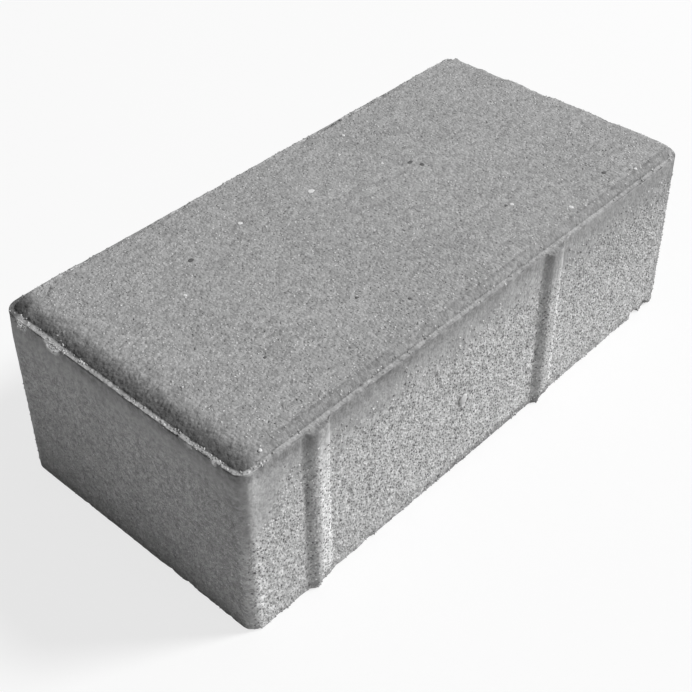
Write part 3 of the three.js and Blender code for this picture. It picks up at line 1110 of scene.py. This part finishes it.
# Single pebbles in the top and a lump of cement that stands out of the ribbed side: the middle
# and the size of each in millimetres, and its finish.
IN_TOP = 61.7
PEBBLES = {
    "largest_white": ((-1.4, 23.4, IN_TOP), (2.3, 1.9, 1.4), WHITE_STONE),
    "white_by_plain_side": ((29.4, 38.6, IN_TOP), (1.1, 1.3, 1), WHITE_STONE),
    "white_past_middle": ((25.3, 17.7, IN_TOP), (1.1, 1.1, 1), WHITE_STONE),
    "white_beside_it": ((20.0, 31.5, IN_TOP), (0.9, 1.1, 1), WHITE_STONE),
    "white_by_near_corner": ((-89.9, -45.2, 61.1), (1, 1, 1), WHITE_STONE),
    "white_by_far_rib": ((45.3, -41.2, IN_TOP), (1.7, 1.6, 1), WHITE_STONE),
    "white_further_on": ((76.5, -43.8, IN_TOP), (1.4, 1.3, 1), WHITE_STONE),
    "white_before_far_rib": ((34.6, -26.9, IN_TOP), (1.6, 1.5, 1), WHITE_STONE),
    "white_before_middle": ((-27.9, 27.2, IN_TOP), (1.7, 1.6, 1), WHITE_STONE),
    "white_towards_near_end": ((-62.1, 13.2, IN_TOP), (1.2, 1.2, 1), WHITE_STONE),
    "dark_past_middle": ((31.7, 11.5, IN_TOP), (2.0, 1.5, 1.4), DARK_STONE),
    "dark_beside_it": ((33.3, 7.9, IN_TOP), (1.5, 2.0, 1.2), DARK_STONE),
    "dark_by_far_rib": ((68.1, -37.7, IN_TOP), (1.3, 1.5, 1.2), DARK_STONE),
    "dark_before_far_rib": ((32.7, -26.0, IN_TOP), (1.3, 1.0, 1), DARK_STONE),
    "dark_towards_near_end": ((-50.1, 24.2, IN_TOP), (2.0, 1.6, 1.3), DARK_STONE),
    "dark_before_middle": ((-30.8, -22.8, IN_TOP), (1.2, 1.1, 1), DARK_STONE),
    "dark_between_ribs": ((-21.3, -34.0, IN_TOP), (1.2, 1.1, 1), DARK_STONE),
    "dark_by_near_rib": ((-65.6, -22.1, IN_TOP), (1.1, 1.0, 1), DARK_STONE),
    "lump_in_ribbed_side": ((-12.8, -48.0, 26.9), (3.4, 1.2, 3.8), CEMENT),
}
# How uneven a pebble is, and about how many lumps it has across it.
PEBBLE_UNEVEN = 0.3
PEBBLE_LUMPS = 2


def pebbles():
    """The single pebbles as one piece, uneven and worn flat where they would stand out of the
    block."""
    finishes = {finish: painted(*finish) for finish in (WHITE_STONE, DARK_STONE, CEMENT)}
    shapes = bmesh.new()
    for middle, size, finish in PEBBLES.values():
        middle = Vector([length * MM for length in middle])
        size = Vector([length * MM for length in size])
        grown = bmesh.ops.create_icosphere(shapes, subdivisions=3, radius=0.5, matrix=Matrix())
        for corner in grown["verts"]:
            bulge = noise.noise(corner.co * PEBBLE_LUMPS + middle / MM)
            corner.co = middle + corner.co * (1 + PEBBLE_UNEVEN * bulge) * size
            corner.co = Vector(np.clip(corner.co, low, high))
        for face in {face for corner in grown["verts"] for face in corner.link_faces}:
            face.material_index = list(finishes).index(finish)
            face.smooth = True
    mesh = bpy.data.meshes.new("pebbles")
    shapes.to_mesh(mesh)
    shapes.free()
    for material in finishes.values():
        mesh.materials.append(material)
    piece = bpy.data.objects.new("pebbles", mesh)
    bpy.context.scene.collection.objects.link(piece)
    return piece


# ---- grains that stand in the surface ----

# Each grain of sand is one mineral, so its colour is plain: its grey, its roughness and the share
# of the grains up to it.
MINERALS = {
    "quartz_sand": ("#cacaca", 0.5, 0.25),
    "limestone_sand": ("#a6a6a6", 0.9, 0.80),
    "basalt_sand": ("#808080", 0.8, 1.0),
}
# The names of the inputs and their values for the top. Facing and the least share of a face's
# normal along it pick the faces, and Where names the attribute that thins the grains out.
TOP_SAND = {
    "Where": "sandy",
    "Facing": (0.0, 0.0, 1.0),
    "Least facing": 0.72,
    "Least spacing": 0.85 * MM,
    "Grains per square metre": 2.5e6,
    "Smallest grain": 0.55 * MM,
    "Largest grain": 1.30 * MM,
    "Sunk": 0.20 * MM,
    "Darkest mineral": 1.0,
    "Seed": SEED,
}
# What the other pieces of grains have instead. Crumbs lie on faces that look any way.
GRAIN_PIECES = {
    "top_sand": {},
    "ribbed_side_sand": {"Facing": (0.0, -1.0, 0.0), "Least spacing": 0.80 * MM, "Sunk": 0.12 * MM},
    "plain_side_sand": {"Facing": (0.0, 1.0, 0.0)},
    "near_end_sand": {"Facing": (-1.0, 0.0, 0.0), "Least spacing": 1.1 * MM, "Sunk": 0.28 * MM},
    "far_end_sand": {"Facing": (1.0, 0.0, 0.0), "Least spacing": 1.1 * MM, "Sunk": 0.28 * MM},
    "edge_crumbs": {
        "Where": "crumbly",
        "Least facing": -2.0,
        "Least spacing": 0.60 * MM,
        "Smallest grain": 0.45 * MM,
        "Largest grain": 1.5 * MM,
        "Sunk": 0.15 * MM,
        "Darkest mineral": 0.8,
    },
}


def grain_places(tree, given):
    """The middles of the grains, sunk in the faces that look the given way."""
    normal = add(tree, "GeometryNodeInputNormal")
    towards = {0: normal, 1: given["Facing"]}
    towards = add(tree, "ShaderNodeVectorMath", towards, output="Value", operation="DOT_PRODUCT")
    chosen = {0: towards, 1: given["Least facing"]}
    chosen = add(tree, "ShaderNodeMath", chosen, operation="GREATER_THAN")
    where = {"Name": given["Where"]}
    where = add(tree, "GeometryNodeInputNamedAttribute", where, data_type="FLOAT")
    amount = add(tree, "ShaderNodeMath", {0: chosen, 1: where}, operation="MULTIPLY")

    scatter = {
        "Mesh": given["Geometry"],
        "Density Max": given["Grains per square metre"],
        "Distance Min": given["Least spacing"],
        "Density Factor": amount,
        "Seed": given["Seed"],
    }
    kind = "GeometryNodeDistributePointsOnFaces"
    points = add(tree, kind, scatter, output=None, distribute_method="POISSON").outputs
    away = add(tree, "ShaderNodeMath", {0: given["Sunk"], 1: -1}, operation="MULTIPLY")
    sunk = {0: points["Normal"], "Scale": away}
    sunk = add(tree, "ShaderNodeVectorMath", sunk, operation="SCALE")
    return add(tree, "GeometryNodeSetPosition", {"Geometry": points["Points"], "Offset": sunk})


def uneven_grains(tree, given, places):
    """A grain at each of these places, turned and sized by chance, with its draw of a mineral."""
    grain = add(tree, "GeometryNodeMeshUVSphere", {"Segments": 4, "Rings": 2, "Radius": 0.5})
    grain = add(tree, "GeometryNodeSetShadeSmooth", {"Geometry": grain})
    turn = {"Max": (math.tau, math.tau, math.tau), "Seed": given["Seed"]}
    turn = add(tree, "FunctionNodeRandomValue", turn, data_type="FLOAT_VECTOR")
    smallest = add(tree, "ShaderNodeCombineXYZ", {axis: given["Smallest grain"] for axis in "XYZ"})
    largest = add(tree, "ShaderNodeCombineXYZ", {axis: given["Largest grain"] for axis in "XYZ"})
    size = {"Min": smallest, "Max": largest, "Seed": given["Seed"]}
    size = add(tree, "FunctionNodeRandomValue", size, data_type="FLOAT_VECTOR")
    laid = {"Points": places, "Instance": grain, "Rotation": turn, "Scale": size}
    grains = add(tree, "GeometryNodeInstanceOnPoints", laid)
    draw = {3: given["Darkest mineral"], "Seed": given["Seed"]}
    draw = add(tree, "FunctionNodeRandomValue", draw, output=1)
    kept = {"Geometry": grains, "Name": "mineral", "Value": draw}
    grains = add(tree, "GeometryNodeStoreNamedAttribute", kept, data_type="FLOAT", domain="INSTANCE")
    return add(tree, "GeometryNodeRealizeInstances", {"Geometry": grains})


def worn_flat(tree, grains):
    """The grains, cut back where they would stand out of the block."""
    place = add(tree, "GeometryNodeInputPosition")
    above = add(tree, "ShaderNodeVectorMath", {0: place, 1: low}, operation="MAXIMUM")
    within = add(tree, "ShaderNodeVectorMath", {0: above, 1: high}, operation="MINIMUM")
    return add(tree, "GeometryNodeSetPosition", {"Geometry": grains, "Position": within})


def in_minerals(tree, grains, minerals):
    """The grains, each in the material of the mineral that it drew."""
    drawn = add(tree, "GeometryNodeInputNamedAttribute", {"Name": "mineral"}, data_type="FLOAT")
    start = -1
    for material, end in minerals.items():
        above = add(tree, "ShaderNodeMath", {0: drawn, 1: start}, operation="GREATER_THAN")
        below = add(tree, "ShaderNodeMath", {0: drawn, 1: end}, operation="LESS_THAN")
        this = add(tree, "ShaderNodeMath", {0: above, 1: below}, operation="MULTIPLY")
        dressed = {"Geometry": grains, "Selection": this, "Material": material}
        grains = add(tree, "GeometryNodeSetMaterial", dressed)
        start = end
    return grains


def grain_tree():
    """Grains of sand half sunk in the faces that look the given way, each of one mineral, and
    worn flat where they would stand out of the block."""
    minerals = {}
    for name, (grey, roughness, end) in MINERALS.items():
        minerals[painted(name, grey, roughness)] = end
    tree, given = sized_tree("grains_in_surface", TOP_SAND)
    grains = uneven_grains(tree, given, grain_places(tree, given))
    grains = in_minerals(tree, worn_flat(tree, grains), minerals)
    add(tree, "NodeGroupOutput", {"Geometry": grains})
    return tree


block = clean_block()
run_tree(block, wear_tree(), WEAR)
pieces = [block]
grains_in_surface = grain_tree()
for name, sizes in GRAIN_PIECES.items():
    sand = bpy.data.objects.new(name, block.data.copy())
    bpy.context.scene.collection.objects.link(sand)
    run_tree(sand, grains_in_surface, TOP_SAND | sizes)
    pieces.append(sand)
block.data.materials.append(pressed_concrete())
pieces.append(pebbles())

# ---- studio ----

CAMERA_PLACE = (-240.46 * MM, -216.95 * MM, 287.95 * MM)
CAMERA_HEADING = 47.60
CAMERA_DOWN = 38.03
CAMERA_ROLL = -0.17
CAMERA_LENS = 68.40
CAMERA_FILM = 36
CAMERA_SHIFT = (-0.0260, -0.0809)
CAMERA_NEAREST = 10 * MM


def make_camera():
    """The camera. Its heading is clockwise from +Y, and it looks down by so many degrees."""
    camera = bpy.data.cameras.new("camera")
    camera.lens = CAMERA_LENS
    camera.sensor_width = CAMERA_FILM
    camera.shift_x, camera.shift_y = CAMERA_SHIFT
    camera.clip_start = CAMERA_NEAREST
    holder = bpy.data.objects.new("camera", camera)
    holder.location = CAMERA_PLACE
    turn = Euler((0, 0, math.radians(CAMERA_ROLL))).to_matrix()
    aim = Euler((math.radians(90 - CAMERA_DOWN), 0, math.radians(-CAMERA_HEADING))).to_matrix()
    holder.rotation_euler = (aim @ turn).to_euler()
    bpy.context.scene.collection.objects.link(holder)
    bpy.context.scene.camera = holder


def area_lamp(name, place, aim, size, power):
    """A round lamp that the camera doesn't see."""
    lamp = bpy.data.lights.new(name, "AREA")
    lamp.shape = "DISK"
    lamp.size = size
    lamp.energy = power
    holder = bpy.data.objects.new(name, lamp)
    holder.location = place
    holder.rotation_euler = (Vector(aim) - Vector(place)).to_track_quat("-Z", "Y").to_euler()
    holder.visible_camera = False
    bpy.context.scene.collection.objects.link(holder)


# A white surface that faces the key light looks this bright by it.
KEY_LEVEL = 1.17
KEY_FROM = Vector((0.57, -0.43, 0.70)).normalized()
KEY_DISTANCE = 4
KEY_SIZE = 1.0
KEY_AIM = (0, 0, 30 * MM)
# The card lies on the floor before the near end, faces up and is this bright itself.
CARD_LEVEL = 0.2
CARD_SIZE = 0.6
CARD_PLACE = (-0.42, 0, 1 * MM)
CARD_AIM = (-0.42, 0, 1)


def make_lamps():
    """The key light and the reflector card."""
    key_power = KEY_LEVEL * math.pi**2 * KEY_DISTANCE**2
    area_lamp("key_light", KEY_FROM * KEY_DISTANCE, KEY_AIM, KEY_SIZE, key_power)
    card_power = CARD_LEVEL * math.pi**2 * (CARD_SIZE / 2) ** 2
    area_lamp("reflector_card", CARD_PLACE, CARD_AIM, CARD_SIZE, card_power)


FILL_LEVEL = 0.18


def make_fill():
    """Even light from all round. The camera sees it as plain white."""
    world = bpy.data.worlds.new("studio")
    world.use_nodes = True
    tree = world.node_tree
    tree.nodes.clear()
    seen = add(tree, "ShaderNodeLightPath", output="Is Camera Ray")
    strength = {"Value": seen, "To Min": FILL_LEVEL, "To Max": 1}
    strength = add(tree, "ShaderNodeMapRange", strength)
    glow = add(tree, "ShaderNodeBackground", {"Color": (1, 1, 1, 1), "Strength": strength})
    add(tree, "ShaderNodeOutputWorld", {"Surface": glow})
    bpy.context.scene.world = world


FLOOR_COLOUR = "#ececec"
# This much of what the camera sees of the floor is plain white, which keeps its shadow pale.
FLOOR_WHITE = 0.75
FLOOR_REACH = 6


def matt_white_floor():
    """The floor's finish, which is part plain white to the camera only."""
    material = bpy.data.materials.new("matt_white_floor")
    material.use_nodes = True
    tree = material.node_tree
    tree.nodes.clear()
    matt = add(tree, "ShaderNodeBsdfDiffuse", {"Color": linear(FLOOR_COLOUR)})
    white = add(tree, "ShaderNodeEmission", {"Color": (1, 1, 1, 1), "Strength": 1.0})
    seen = add(tree, "ShaderNodeLightPath", output="Is Camera Ray")
    share = add(tree, "ShaderNodeMath", {0: seen, 1: FLOOR_WHITE}, operation="MULTIPLY")
    mix = add(tree, "ShaderNodeMixShader", {0: share, 1: matt, 2: white})
    add(tree, "ShaderNodeOutputMaterial", {"Surface": mix})
    return material


def make_floor():
    """A square of floor that reaches this far each way from under the block."""
    mesh = bpy.data.meshes.new("studio_floor")
    turns = ((-1, -1), (1, -1), (1, 1), (-1, 1))
    corners = [(x * FLOOR_REACH, y * FLOOR_REACH, 0) for x, y in turns]
    mesh.from_pydata(corners, [], [range(4)])
    floor = bpy.data.objects.new("studio_floor", mesh)
    bpy.context.scene.collection.objects.link(floor)
    mesh.materials.append(matt_white_floor())


make_camera()
make_lamps()
make_fill()
make_floor()

for piece in pieces:
    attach(piece, "root")
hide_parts("paving_block")

bpy.context.scene.view_settings.view_transform = "Standard"
